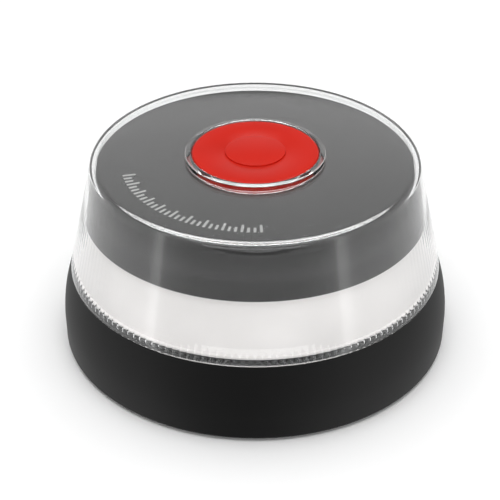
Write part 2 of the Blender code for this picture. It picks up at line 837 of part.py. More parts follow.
def make_button():
    """The red button: raised centre, rounded edge, hollow skirt with a seal groove, and the switch's stem."""
    edge = 1.0
    flange_top, groove_high, groove_low = 42.9, 41.6, 40.2
    underside = BUTTON_TOP - 1.6
    outline = [
        (0, BUTTON_TOP + BOSS_RISE),
        (BOSS_RADIUS, BUTTON_TOP + BOSS_RISE),
        (BOSS_RADIUS + BOSS_RISE, BUTTON_TOP),
        *arc((BUTTON_RADIUS - edge, BUTTON_TOP - edge), edge, 90, 0),
        (BUTTON_RADIUS, flange_top),
        (FLANGE_RADIUS, flange_top),
        (FLANGE_RADIUS, groove_high),
        (BUTTON_RADIUS - 0.1, groove_high),
        (BUTTON_RADIUS - 0.1, groove_low),
        (FLANGE_RADIUS, groove_low),
        (FLANGE_RADIUS, SKIRT_FOOT),
        (SKIRT_BORE, SKIRT_FOOT),
        (SKIRT_BORE, underside),
        (STEM_RADIUS, underside),
        (STEM_RADIUS, STEM_FOOT),
        (0, STEM_FOOT),
    ]
    button = turned("power_button", outline, red_plastic(), INNER_STEPS)
    seal = ring_seal("button_seal", 15.0, (groove_low + groove_high) / 2, 1.0, INNER_STEPS)
    parent_empty("power_button_axis", BUTTON_TOP, button, seal)

    wire = 0.4
    seat = RETAINER_TOP + PART_GAP + wire
    length = underside - PART_GAP - wire - seat
    spring = swept("button_spring", helix(11.9, 11.9, length, 4, 16), wire, nickel())
    place(spring, (0, 0, seat))


def make_retainer():
    """A cup that snaps over the guide tube and carries the foot of the button's spring."""
    low, wall_top = RETAINER_TOP - 1.3, 41.0
    outline = [
        (10.6, low),
        (GUIDE_OUTER + PART_GAP + 1.2, low),
        (GUIDE_OUTER + PART_GAP + 1.2, wall_top),
        (GUIDE_OUTER + PART_GAP, wall_top),
        (GUIDE_OUTER + PART_GAP, RETAINER_TOP),
        (11.0, RETAINER_TOP),
        (11.0, RETAINER_TOP + 0.9),
        (10.6, RETAINER_TOP + 0.9),
    ]
    turned("button_retainer", outline, black_plastic(), INNER_STEPS)


def main():
    clear_scene()
    make_base()
    make_foot_pad()
    make_magnets()
    make_cells()
    make_contacts()
    make_leads()
    make_door()
    make_chassis()
    make_light_engine()
    make_electronics()
    make_dome()
    ring_seal("dome_seal", 42.05, 17.2, 0.8, SHELL_STEPS)
    make_inner_cap()
    make_button()
    make_retainer()
    make_screw_set("case_screw", case_screw_places(), 1.0, False, CASE_SCREW)
    make_screw_set("chassis_screw", chassis_screw_places(), CHASSIS_FLOOR + INNER_HEAD_RISE, True, INNER_SCREW)
    make_screw_set("pcb_screw", pcb_screw_places(), PCB_HIGH + INNER_HEAD_RISE, True, INNER_SCREW)


main()
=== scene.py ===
"""Looks for the electronic road flare: its fluted clear dome, grey cap, red button and soft black base.

The pieces' sizes are in millimetres, and are turned into metres as each mesh is made. The lights and the
camera are placed in metres. The CAD frame gives the places, and sizes that its boxes don't show repeat the
part's source or follow the photograph.
"""

import json
import math

import bmesh
import bpy
from mathutils import Matrix, Vector


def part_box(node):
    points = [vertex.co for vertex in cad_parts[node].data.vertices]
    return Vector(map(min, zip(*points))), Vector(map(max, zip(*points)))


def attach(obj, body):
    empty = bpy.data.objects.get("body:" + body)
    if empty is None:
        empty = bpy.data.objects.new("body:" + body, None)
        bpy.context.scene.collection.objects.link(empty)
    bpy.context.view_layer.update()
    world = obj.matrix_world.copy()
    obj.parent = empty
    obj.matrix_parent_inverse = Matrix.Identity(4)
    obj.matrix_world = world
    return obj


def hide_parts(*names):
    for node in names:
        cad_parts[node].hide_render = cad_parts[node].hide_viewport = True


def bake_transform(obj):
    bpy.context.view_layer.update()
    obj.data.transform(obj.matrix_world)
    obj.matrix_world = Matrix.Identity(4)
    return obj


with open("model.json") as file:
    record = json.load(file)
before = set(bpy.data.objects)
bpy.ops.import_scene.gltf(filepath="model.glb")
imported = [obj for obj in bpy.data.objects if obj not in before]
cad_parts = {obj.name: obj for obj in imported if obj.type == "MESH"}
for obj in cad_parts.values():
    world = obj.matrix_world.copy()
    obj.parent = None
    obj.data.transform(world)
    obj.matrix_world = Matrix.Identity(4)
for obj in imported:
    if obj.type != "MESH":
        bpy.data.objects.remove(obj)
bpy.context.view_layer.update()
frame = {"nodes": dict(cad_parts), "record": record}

MM = 0.001

# ---- Places read from the frame --------------------------------------------------------------------------


def top_of(node):
    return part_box(node)[1].z / MM


def foot_of(node):
    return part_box(node)[0].z / MM


def radius_of(node):
    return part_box(node)[1].x / MM


def middle(node):
    low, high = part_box(node)
    return (low.x + high.x) / 2 / MM, (low.y + high.y) / 2 / MM


BASE_RADIUS = radius_of("base_housing")
BASE_FOOT = foot_of("base_housing")
BASE_RIM = top_of("base_housing")
DOME_RADIUS = radius_of("dome_lens")
COLLAR_TOP = top_of("dome_lens")
CAP_TOP = top_of("inner_cap")
BUTTON_CROWN = top_of("power_button")
PAD_RADIUS = radius_of("foot_pad")

# ---- Driving dimensions ----------------------------------------------------------------------------------

# How finely round shapes are divided, and the largest angle in degrees between faces that is shaded smooth.
SMOOTH_STEPS = 240
CELL_STEPS = 64
SMALL_STEPS = 40
SCREW_STEPS = 32
FLUTE_STEPS = 8
CORNER_STEPS = 8
SMOOTH_ANGLE = 32

# How far a cutter runs past the face that it cuts.
PAST = 1.0

# Dome and its collar. The radius falls by DOME_SLOPE for each millimetre of height, and LEAN is that slope
# in degrees.
FOOT_GAP = 0.05
COLLAR_RISE = 1.3
DOME_FOOT = BASE_RIM + FOOT_GAP
DOME_TOP = COLLAR_TOP - COLLAR_RISE
DOME_SLOPE = 0.215
LEAN = math.degrees(math.atan(DOME_SLOPE))
DOME_WALL = 1.2
DOME_EDGE = 1.8
INNER_EDGE = 0.8
COLLAR_OUTER = 16.25
COLLAR_BORE = 14.8

# Flutes. They deepen over the last FLUTE_RUN down to FLUTE_FOOT, where the wall is also thinner, and fade
# out between two heights above the dome's foot.
FLUTE_COUNT = 160
FLUTE_TOP = 33.2
FLUTE_FOOT = 19.75
FLUTE_RUN = 3.0
FLUTE_FADE = (0.3, 0.7)
FLUTE_SHALLOW = 0.012
FLUTE_DEEP = 0.3
FOOT_THINNING = 0.45

# Cap and the tube under it that guides the button.
CAP_FOOT = 33.4
CAP_GAP = 0.25
CAP_HOLE_GAP = 0.15
CAP_EDGE = 1.6
CAP_WALL = 1.2
CAP_ROOF = 1.5
GUIDE_BORE = 15.8
GUIDE_OUTER = 17.2
GUIDE_FOOT = 37.6

# Painted shade on the cap: grey levels that multiply its colour, at shares of the span below up to its top.
# They darken its rounded top edge and the wall just under it, where the dome's thick edge shades it, and
# darken the wall again towards the low end of the span.
CAP_PAINTED_SHADE_SPAN = 8.0
CAP_PAINTED_SHADE = ((0, 0.6), (0.25, 1), (0.74, 0.5), (0.97, 0.5), (0.99, 1))

# Printed arc of ticks, from one angle to the other in degrees.
TICK_COUNT = 31
TICK_ARC = (-167.0, -87.4)
TICK_RADII = (28.0, 31.0)

# Tops of the dark ring and of the white ledge above it, behind the dome's foot.
LIP_TOP = 19.85
LEDGE_TOP = 20.3

# Button. It stands BUTTON_RAISE above the CAD's, to fill the collar as in the photograph.
BUTTON_RADIUS = 14.65
BUTTON_RAISE = 0.35
BOSS_RADIUS = 6.95
SKIRT_BORE = 12.9
STEM_RADIUS = 2.6
STEM_FOOT = 39.9

# Base and foot pad.
BASE_BORE = 42.7
BASE_EDGE = 0.8
BULGE_HEIGHT = 6.5
SHOULDER_ARC = 36.0
FLOOR_TOP = 3.6
PAD_INNER = 42.1
PAD_GROOVE_TOP = 1.2

# Battery bay and its door. A half is a rectangle's half width and half length.
BAY_HALF = (22.4, 25.0)
BAY_WALL = 1.2
BAY_TOP = 14.1
OPENING_HALF = (22.2, 24.8)
RECESS_HALF = (25.2, 27.8)
RECESS_TOP = 2.5
RECESS_CORNER = 3.0
EAR_RADIUS = 4.0
DOOR_TOP = 1.9
DOOR_GAP = 0.3


# ---- Shape helpers ---------------------------------------------------------------------------------------


def arc(centre, radius, start, end, steps=6):
    """Points on an arc from start to end, both in degrees."""
    angles = [math.radians(start + (end - start) * i / steps) for i in range(steps + 1)]
    return [(centre[0] + radius * math.cos(a), centre[1] + radius * math.sin(a)) for a in angles]


def polar(radius, degrees):
    return radius * math.cos(math.radians(degrees)), radius * math.sin(math.radians(degrees))


def rounded_rectangle(half, corner):
    x, y = half[0] - corner, half[1] - corner
    corners = (((x, y), 0), ((-x, y), 90), ((-x, -y), 180), ((x, -y), 270))
    return [
        point
        for centre, start in corners
        for point in arc(centre, corner, start, start + 90, CORNER_STEPS)
    ]


def shade_faces(mesh, smooth=SMOOTH_ANGLE):
    mesh.shade_smooth()
    mesh.set_sharp_from_angle(angle=math.radians(smooth))


def finished_mesh(name, shape):
    bmesh.ops.recalc_face_normals(shape, faces=shape.faces)
    mesh = bpy.data.meshes.new(name)
    shape.to_mesh(mesh)
    shape.free()
    return mesh


def finished(name, shape, material, smooth=SMOOTH_ANGLE):
    """Turns a bmesh into a shaded object in the scene."""
    mesh = finished_mesh(name, shape)
    mesh.materials.append(material)
    shade_faces(mesh, smooth)
    made = bpy.data.objects.new(name, mesh)
    bpy.context.collection.objects.link(made)
    return made


def add_turned(shape, outline, steps=SMOOTH_STEPS, centre=(0, 0), ripple=None):
    """Spins (radius, height) points about an upright axis.

    Points with a radius of 0 close on the axis, and ripple(turn, radius, height) may change a radius as it
    goes round. An outline that doesn't start and end on the axis is joined up into a closed loop.
    """
    rings = []
    for radius, height in outline:
        if radius == 0:
            rings.append([shape.verts.new((centre[0] * MM, centre[1] * MM, height * MM))])
            continue
        ring = []
        for step in range(steps):
            turn = step / steps
            local = ripple(turn, radius, height) if ripple else radius
            x, y = polar(local, 360 * turn)
            ring.append(shape.verts.new(((centre[0] + x) * MM, (centre[1] + y) * MM, height * MM)))
        rings.append(ring)
    pairs = list(zip(rings, rings[1:]))
    if len(rings[0]) > 1 or len(rings[-1]) > 1:
        pairs.append((rings[-1], rings[0]))
    for low, high in pairs:
        for i in range(steps):
            after = (i + 1) % steps
            corners = [low[i % len(low)], low[after % len(low)], high[after % len(high)], high[i % len(high)]]
            shape.faces.new(list(dict.fromkeys(corners)))


def add_layers(shape, rings):
    """Joins rings of points, each with as many points, into one closed solid."""
    for low, high in zip(rings, rings[1:]):
        for i in range(len(low)):
            after = (i + 1) % len(low)
            shape.faces.new([low[i], low[after], high[after], high[i]])
    shape.faces.new(rings[0][::-1])
    shape.faces.new(rings[-1])


def add_prism(shape, layers):
    """A closed prism through layers, each an outline of (x, y) points and a height."""
    rings = []
    for outline, height in layers:
        rings.append([shape.verts.new((x * MM, y * MM, height * MM)) for x, y in outline])
    add_layers(shape, rings)


def add_at_ears(shape, outline):
    """Spins an outline about each of the door's two screws."""
    ear_y = middle("door_screw_1")[1]
    for side in (-1, 1):
        add_turned(shape, outline, SMALL_STEPS, (0, side * ear_y))


def turned(name, outline, material, steps=SMOOTH_STEPS, ripple=None, smooth=SMOOTH_ANGLE):
    shape = bmesh.new()
    add_turned(shape, outline, steps, ripple=ripple)
    return finished(name, shape, material, smooth)


def combine(target, operation, *adders):
    """Joins to a piece, or cuts from it, the solids that each adder puts in a bmesh."""
    for adder in adders:
        shape = bmesh.new()
        adder(shape)
        tool = bpy.data.objects.new("tool", finished_mesh("tool", shape))
        bpy.context.collection.objects.link(tool)
        step = target.modifiers.new("step", "BOOLEAN")
        step.operation = operation
        step.solver = "MANIFOLD"
        step.object = tool
        made = bpy.data.meshes.new_from_object(target.evaluated_get(bpy.context.evaluated_depsgraph_get()))
        target.modifiers.clear()
        target.data = made
        bpy.data.objects.remove(tool)
    shade_faces(target.data)


def belongs(piece, body, node):
    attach(piece, body)
    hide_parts(node)


# ---- Material helpers ------------------------------------------------------------------------------------


def new_material(name):
    made = bpy.data.materials.new(name)
    made.use_nodes = True
    return made, made.node_tree.nodes, made.node_tree.links


def principled(nodes, colour, roughness, metallic=0.0, specular=0.5):
    shader = nodes["Principled BSDF"]
    shader.inputs["Base Color"].default_value = (*colour, 1)
    shader.inputs["Roughness"].default_value = roughness
    shader.inputs["Metallic"].default_value = metallic
    shader.inputs["Specular IOR Level"].default_value = specular
    return shader


def feed(links, socket, value):
    """Links a socket to another node's output, or sets it to a plain value."""
    if isinstance(value, bpy.types.NodeSocket):
        links.new(value, socket)
    else:
        socket.default_value = value


def add_axes(nodes, links, kind="Object"):
    """The X, Y and Z of a place on the piece, or of a direction in the world, as outputs."""
    where = nodes.new("ShaderNodeTexCoord")
    split = nodes.new("ShaderNodeSeparateXYZ")
    links.new(where.outputs[kind], split.inputs["Vector"])
    return split.outputs


def add_noise(nodes, links, per_metre, detail=3.0):
    where = nodes.new("ShaderNodeTexCoord")
    noise = nodes.new("ShaderNodeTexNoise")
    noise.inputs["Scale"].default_value = per_metre
    noise.inputs["Detail"].default_value = detail
    links.new(where.outputs["Object"], noise.inputs["Vector"])
    return noise.outputs["Fac"]


def add_ramp(nodes, links, source, stops):
    ramp = nodes.new("ShaderNodeValToRGB")
    while len(ramp.color_ramp.elements) < len(stops):
        ramp.color_ramp.elements.new(0.5)
    for element, (position, colour) in zip(ramp.color_ramp.elements, stops):
        element.position = position
        element.color = (*colour, 1)
    links.new(source, ramp.inputs["Fac"])
    return ramp.outputs["Color"]


def greys(levels):
    """Ramp stops from pairs of a position and a grey level."""
    return [(position, (level, level, level)) for position, level in levels]


def add_range(nodes, links, source, result=(0, 1), given=(0, 1)):
    """Spreads a value's given range over the result's range."""
    spread = nodes.new("ShaderNodeMapRange")
    for name, value in zip(("From Min", "From Max", "To Min", "To Max"), (*given, *result)):
        spread.inputs[name].default_value = value
    links.new(source, spread.inputs["Value"])
    return spread.outputs["Result"]


def add_math(nodes, links, operation, *values):
    step = nodes.new("ShaderNodeMath")
    step.operation = operation
    for socket, value in zip(step.inputs, values):
        feed(links, socket, value)
    return step.outputs["Value"]


def add_mix(nodes, links, blend, factor, first, second):
    mix = nodes.new("ShaderNodeMix")
    mix.data_type = "RGBA"
    mix.blend_type = blend
    for name, value in (("Factor", factor), ("A", first), ("B", second)):
        feed(links, mix.inputs[name], value)
    return mix.outputs["Result"]


def add_bump(nodes, links, height, shader, strength):
    bump = nodes.new("ShaderNodeBump")
    bump.inputs["Strength"].default_value = strength
    bump.inputs["Distance"].default_value = 0.1 * MM
    links.new(height, bump.inputs["Height"])
    links.new(bump.outputs["Normal"], shader.inputs["Normal"])


def moulded(name, colour, roughness, specular=0.5, grain=2500, bump=0.05):
    """Moulded plastic or rubber: a fine grain, and a slow change of shade and of gloss."""
    mottle, unevenness, patches_per_metre = 0.06, 0.08, 60
    made, nodes, links = new_material(name)
    shader = principled(nodes, colour, roughness, specular=specular)
    slow = add_noise(nodes, links, patches_per_metre)
    dark, light = [tuple(min(1, c * (1 + change)) for c in colour) for change in (-mottle, mottle)]
    shade = add_ramp(nodes, links, slow, [(0.3, dark), (0.7, light)])
    links.new(shade, shader.inputs["Base Color"])
    gloss = add_range(nodes, links, slow, (roughness * (1 - unevenness), roughness * (1 + unevenness)))
    links.new(gloss, shader.inputs["Roughness"])
    fine = add_noise(nodes, links, grain, 2.0)
    add_bump(nodes, links, fine, shader, bump)
    return made


def metal(name, colour, roughness):
    """Plated metal with faint streaks."""
    darker, smoother, rougher, streaks_per_metre = 0.82, 0.8, 1.3, 900
    made, nodes, links = new_material(name)
    shader = principled(nodes, colour, roughness, metallic=1.0)
    noise = add_noise(nodes, links, streaks_per_metre, 4.0)
    shade = add_ramp(nodes, links, noise, [(0.35, tuple(c * darker for c in colour)), (0.7, colour)])
    links.new(shade, shader.inputs["Base Color"])
    gloss = add_range(nodes, links, noise, (roughness * smoother, roughness * rougher))
    links.new(gloss, shader.inputs["Roughness"])
    add_bump(nodes, links, noise, shader, 0.04)
    return made


def paint_shade_by_height(material, top, span, levels):
    """Painted shade: multiplies a material's colour by grey levels that run up the last span to a height."""
    nodes, links = material.node_tree.nodes, material.node_tree.links
    share = add_range(nodes, links, add_axes(nodes, links)["Z"], given=((top - span) * MM, top * MM))
    shade = add_ramp(nodes, links, share, greys(levels))
    target = nodes["Principled BSDF"].inputs["Base Color"]
    links.new(add_mix(nodes, links, "MULTIPLY", 1, target.links[0].from_socket, shade), target)


def clear_plastic():
    """Clear moulded plastic. Lamps and diffuse light pass straight through, so what is inside is lit."""
    made, nodes, links = new_material("clear_polycarbonate")
    shader = principled(nodes, (0.985, 0.99, 0.99), 0.0)
    shader.inputs["Transmission Weight"].default_value = 1.0
    shader.inputs["IOR"].default_value = 1.56
    haze = add_noise(nodes, links, 45, 2.0)
    links.new(add_range(nodes, links, haze, (0, 0.008)), shader.inputs["Roughness"])
    passing = nodes.new("ShaderNodeBsdfTransparent")
    passing.inputs["Color"].default_value = (0.94, 0.95, 0.95, 1)
    path = nodes.new("ShaderNodeLightPath")
    surface = shader.outputs["BSDF"]
    for ray in ("Is Shadow Ray", "Is Diffuse Ray"):
        mix = nodes.new("ShaderNodeMixShader")
        links.new(path.outputs[ray], mix.inputs["Fac"])
        links.new(surface, mix.inputs[1])
        links.new(passing.outputs["BSDF"], mix.inputs[2])
        surface = mix.outputs["Shader"]
    links.new(surface, nodes["Material Output"].inputs["Surface"])
    return made


# ---- Dome, cap, diffuser, seal and button ----------------------------------------------------------------


def dome_outer(height):
    return DOME_RADIUS - DOME_SLOPE * (height - DOME_FOOT)


def dome_inner(height):
    return dome_outer(height) - DOME_WALL


def fillet(face_radius, top, edge):
    """The rounded edge between a leaning wall, given as a radius at each height, and a flat top."""
    level = top - edge
    centre = face_radius(level) - edge / math.cos(math.radians(LEAN))
    return (centre, level), edge


def flute(turn, radius, height):
    """Shallow inward scallops on the inner wall, deeper towards their feet."""
    if radius > dome_inner(height) + DOME_WALL / 2 or height > FLUTE_TOP:
        return radius
    rise = min(1, max(0, (height - FLUTE_FOOT) / FLUTE_RUN))
    fade = min(1, max(0, (height - DOME_FOOT - FLUTE_FADE[0]) / (FLUTE_FADE[1] - FLUTE_FADE[0])))
    depth = fade * (FLUTE_SHALLOW + (FLUTE_DEEP - FLUTE_SHALLOW) * (1 - rise) ** 2)
    radius += FOOT_THINNING * (1 - rise)
    across = (turn * FLUTE_COUNT) % 1.0
    return radius - depth * (1 - (2 * across - 1) ** 2)


def make_dome():
    """The clear dome, with its fluted inner wall, flat top and raised collar, whose rim slopes outward."""
    inner_top = DOME_TOP - DOME_WALL
    foot_round, foot_wall, flute_end, flute_rows = 0.12, 2.0, 0.4, 8
    root, lip, slope = 0.12, 0.25, 14
    rim_fall = (COLLAR_OUTER - COLLAR_BORE - 2 * lip) * math.tan(math.radians(slope))
    edge = fillet(dome_outer, DOME_TOP, DOME_EDGE)
    # A ring this far inside each end of the flat top keeps its shading flat.
    level = 0.05
    inner_heights = [
        FLUTE_TOP + flute_end,
        FLUTE_TOP,
        *[FLUTE_FOOT + FLUTE_RUN * i / flute_rows for i in range(flute_rows, -1, -1)],
        DOME_FOOT + FLUTE_FADE[0],
        DOME_FOOT,
    ]
    outline = [
        *arc((DOME_RADIUS - foot_round, DOME_FOOT + foot_round), foot_round, -90, 0, 4),
        (dome_outer(DOME_FOOT + foot_wall), DOME_FOOT + foot_wall),
        (dome_outer(FLUTE_TOP), FLUTE_TOP),
        *arc(*edge, LEAN, 90, 10),
        (edge[0][0] - level, DOME_TOP),
        (COLLAR_OUTER + root + level, DOME_TOP),
        *arc((COLLAR_OUTER + root, DOME_TOP + root), root, -90, -180, 4),
        *arc((COLLAR_OUTER - lip, COLLAR_TOP - lip - rim_fall), lip, 0, 90 - slope, 5),
        *arc((COLLAR_BORE + lip, COLLAR_TOP - lip), lip, 90 - slope, 180, 6),
        (COLLAR_BORE, inner_top),
        *arc(*fillet(dome_inner, inner_top, INNER_EDGE), 90, LEAN, 6),
        *[(dome_inner(height), height) for height in inner_heights],
    ]
    dome = turned("clear_dome", outline, clear_plastic(), FLUTE_COUNT * FLUTE_STEPS, flute)
    belongs(dome, "lamp", "dome_lens")


def cap_outer(height):
    return dome_inner(height) - CAP_GAP


def make_cap():
    """The dark cap under the dome: its top disc, rounded edge, conical skirt and the button's guide."""
    hole = COLLAR_BORE + CAP_HOLE_GAP
    roof = CAP_TOP - CAP_ROOF
    outline = [
        (hole, CAP_TOP),
        *arc(*fillet(cap_outer, CAP_TOP, CAP_EDGE), 90, LEAN, 10),
        (cap_outer(CAP_FOOT), CAP_FOOT),
        (cap_outer(CAP_FOOT) - CAP_WALL, CAP_FOOT),
        (cap_outer(roof) - CAP_WALL, roof),
        (GUIDE_OUTER, roof),
        (GUIDE_OUTER, GUIDE_FOOT),
        (GUIDE_BORE, GUIDE_FOOT),
        (GUIDE_BORE, roof),
        (hole, roof),
    ]
    grey = moulded("dark_grey_plastic", (0.040, 0.039, 0.039), 0.6, 0.0, 900, 0.01)
    # Painted shade: the cap's colour darkens over its rounded top edge and down its wall.
    paint_shade_by_height(grey, CAP_TOP, CAP_PAINTED_SHADE_SPAN, CAP_PAINTED_SHADE)
    cap = turned("grey_cap", outline, grey)
    belongs(cap, "lamp", "inner_cap")


def make_ticks():
    """The arc printed on the cap: plain ticks, every third one long."""
    half_width, shortfall, sunk, proud = 0.32, 1.1, 0.05, 0.02
    inner, outer = TICK_RADII
    start, end = TICK_ARC
    half = math.degrees(half_width / outer)
    shape = bmesh.new()
    for i in range(TICK_COUNT):
        angle = start + (end - start) * i / (TICK_COUNT - 1)
        low = inner if i % 3 == 0 else inner + shortfall
        corners = [polar(low, angle - half), polar(outer, angle - half)]
        corners += [polar(outer, angle + half), polar(low, angle + half)]
        add_prism(shape, [(corners, CAP_TOP - sunk), (corners, CAP_TOP + proud)])
    ticks = finished("cap_ticks", shape, moulded("tick_ink", (0.40, 0.40, 0.39), 0.6, 0.1))
    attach(ticks, "lamp")


def make_diffuser():
    """The white diffuser ring in front of the lights, with a ledge at its foot that meets the flutes."""
    gap, wall, bore = 1.0, 1.2, 38.0
    foot_gap, ledge_gap, ledge_wall, step_in, step_up = 0.05, 0.15, 1.0, 0.1, 0.15
    top, low = top_of("diffuser_ring"), LIP_TOP + foot_gap
    web_top = LEDGE_TOP + ledge_wall

    def face(height):
        return dome_inner(height) - gap

    ledge = dome_inner(LEDGE_TOP) - FLUTE_DEEP - ledge_gap
    outline = [
        (bore, low),
        (ledge, low),
        (ledge, LEDGE_TOP),
        (face(LEDGE_TOP) - step_in, LEDGE_TOP + step_up),
        (face(top), top),
        (face(top) - wall, top),
        (face(web_top) - wall, web_top),
        (bore, web_top),
    ]
    white = moulded("white_diffuser_plastic", (0.88, 0.837, 0.825), 0.5, 0.2)
    ring = turned("white_diffuser", outline, white)
    belongs(ring, "lamp", "diffuser_ring")


def make_seal():
    """The dark ring behind the dome's foot."""
    outer, inner, edge = 42.15, 40.4, 0.2
    foot = foot_of("dome_seal")
    outline = [
        (inner, foot),
        (outer - edge, foot),
        (outer, foot + edge),
        *arc((outer - edge, LIP_TOP - edge), edge, 0, 90, 3),
        (inner, LIP_TOP),
    ]
    seal = turned("foot_seal", outline, moulded("seal_rubber", (0.015, 0.015, 0.015), 0.7, 0.1, 4000, 0.1))
    belongs(seal, "lamp", "dome_seal")


def make_button():
    """The red button: a satin top with a raised centre, a fine groove round it and a rounded margin."""
    boss_rise, boss_round, edge, roof_wall, flange_top = 0.2, 0.1, 0.5, 1.6, 42.9
    groove = ((0, 0.12), (0.25, 0.08), (0.4, 0))
    crown = BUTTON_CROWN + BUTTON_RAISE
    top = crown - boss_rise
    foot, flange_radius = foot_of("power_button"), radius_of("power_button")
    outline = [
        (0, crown),
        *arc((BOSS_RADIUS - boss_round, crown - boss_round), boss_round, 90, 0, 3),
        *[(BOSS_RADIUS + out, top - depth) for out, depth in groove],
        *arc((BUTTON_RADIUS - edge, top - edge), edge, 90, 0, 8),
        (BUTTON_RADIUS, flange_top),
        (flange_radius, flange_top),
        (flange_radius, foot),
        (SKIRT_BORE, foot),
        (SKIRT_BORE, top - roof_wall),
        (STEM_RADIUS, top - roof_wall),
        (STEM_RADIUS, STEM_FOOT),
        (0, STEM_FOOT),
    ]
    red = moulded("red_button_plastic", (0.54, 0.016, 0.008), 0.3, 0.05)
    button = turned("red_button", outline, red, smooth=40)
    belongs(button, "button", "power_button")


def make_button_spring():
    """The button's return spring, its end turns closed up."""
    low, high = foot_of("button_spring"), top_of("button_spring")
    wire, coils, wire_steps, coil_steps = 0.4, 4, 10, 48
    coil_radius = radius_of("button_spring") - wire
    count = coils * coil_steps
    shape = bmesh.new()
    rings = []
    for i in range(count + 1):
        share = i / count
        lift = share - math.sin(2 * math.pi * share) / (2 * math.pi)
        x, y = polar(coil_radius, 360 * coils * share)
        middle_height = low + wire + (high - low - 2 * wire) * lift
        ring = []
        for across, up in arc((0, 0), wire, 0, 360 - 360 / wire_steps, wire_steps - 1):
            out = 1 + across / coil_radius
            ring.append(shape.verts.new((x * out * MM, y * out * MM, (middle_height + up) * MM)))
        rings.append(ring)
    add_layers(shape, rings)
    spring = finished("coil_spring", shape, metal("spring_wire", (0.7, 0.69, 0.66), 0.25), 50)
    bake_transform(spring)
    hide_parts("button_spring")


# ---- Base, pad, door, screws and cells -------------------------------------------------------------------


def make_base():
    """The soft black cup: barrel side, rim, pad groove, battery bay and screw wells."""
    foot_taper, pad_gap, chamfer, chamfer_start = 0.1, 0.15, 0.4, 0.1
    shoulder_end = math.degrees(math.asin((BASE_RIM - BULGE_HEIGHT) / SHOULDER_ARC))
    groove = (PAD_INNER - pad_gap, PAD_RADIUS + pad_gap)
    below = BASE_FOOT - chamfer_start
    outline = [
        (0, BASE_FOOT),
        (groove[0], BASE_FOOT),
        (groove[0], PAD_GROOVE_TOP),
        (groove[1], PAD_GROOVE_TOP),
        (groove[1], BASE_FOOT),
        *arc((BASE_RADIUS - foot_taper - BASE_EDGE, BASE_FOOT + BASE_EDGE), BASE_EDGE, -90, 0, 6),
        *arc((BASE_RADIUS - SHOULDER_ARC, BULGE_HEIGHT), SHOULDER_ARC, 0, shoulder_end, 14),
        (BASE_BORE, BASE_RIM),
        (BASE_BORE, FLOOR_TOP),
        (0, FLOOR_TOP),
    ]
    skin = moulded("soft_touch_black", (0.006, 0.006, 0.006), 0.55, 0.2, 5000, 0.1)
    cup = turned("black_base", outline, skin)

    def add_block(shape):
        corner, sink = 0.5, 0.6
        outline = rounded_rectangle([half + BAY_WALL for half in BAY_HALF], corner)
        add_prism(shape, [(outline, FLOOR_TOP - sink), (outline, BAY_TOP)])

    def add_bay(shape):
        corner = 0.4
        outline = rounded_rectangle(BAY_HALF, corner)
        add_prism(shape, [(outline, FLOOR_TOP), (outline, BAY_TOP + PAST)])

    def add_opening(shape):
        corner, overlap = 0.5, 0.5
        outline = rounded_rectangle(OPENING_HALF, corner)
        add_prism(shape, [(outline, -PAST), (outline, FLOOR_TOP + overlap)])

    def add_recess(shape):
        small = rounded_rectangle(RECESS_HALF, RECESS_CORNER)
        large = rounded_rectangle([half + chamfer for half in RECESS_HALF], RECESS_CORNER + chamfer)
        add_prism(shape, [(large, below), (small, below + chamfer), (small, RECESS_TOP)])

    def add_ear_recess(shape):
        flare = [(0, 0), (EAR_RADIUS + chamfer, below), (EAR_RADIUS, below + chamfer)]
        add_at_ears(shape, [*flare, (EAR_RADIUS, RECESS_TOP), (0, RECESS_TOP)])

    def add_wells(shape):
        radius, top, flare, flare_top = 2.4, 1.9, 0.4, 0.8
        well = [(0, -PAST), (radius + flare, -PAST), (radius, flare_top), (radius, top), (0, top)]
        for i in range(1, 5):
            add_turned(shape, well, SMALL_STEPS, middle(f"case_screw_{i}"))
        bore, bore_foot, bore_top = 1.5, 2, 3.4
        add_at_ears(shape, [(0, bore_foot), (bore, bore_foot), (bore, bore_top), (0, bore_top)])

    combine(cup, "UNION", add_block)
    combine(cup, "DIFFERENCE", add_bay, add_opening, add_recess, add_ear_recess, add_wells)
    belongs(cup, "lamp", "base_housing")


def make_pad():
    """The rubber ring in the underside's groove, rounded where it stands."""
    outer, inner, edge = PAD_RADIUS, PAD_INNER, 0.3
    top = top_of("foot_pad")
    outline = [
        *arc((inner + edge, edge), edge, 180, 270, 4),
        *arc((outer - edge, edge), edge, -90, 0, 4),
        (outer, top),
        (inner, top),
    ]
    pad = turned("foot_ring", outline, moulded("pad_rubber", (0.016, 0.016, 0.016), 0.8, 0.3, 3500, 0.15))
    belongs(pad, "lamp", "foot_pad")


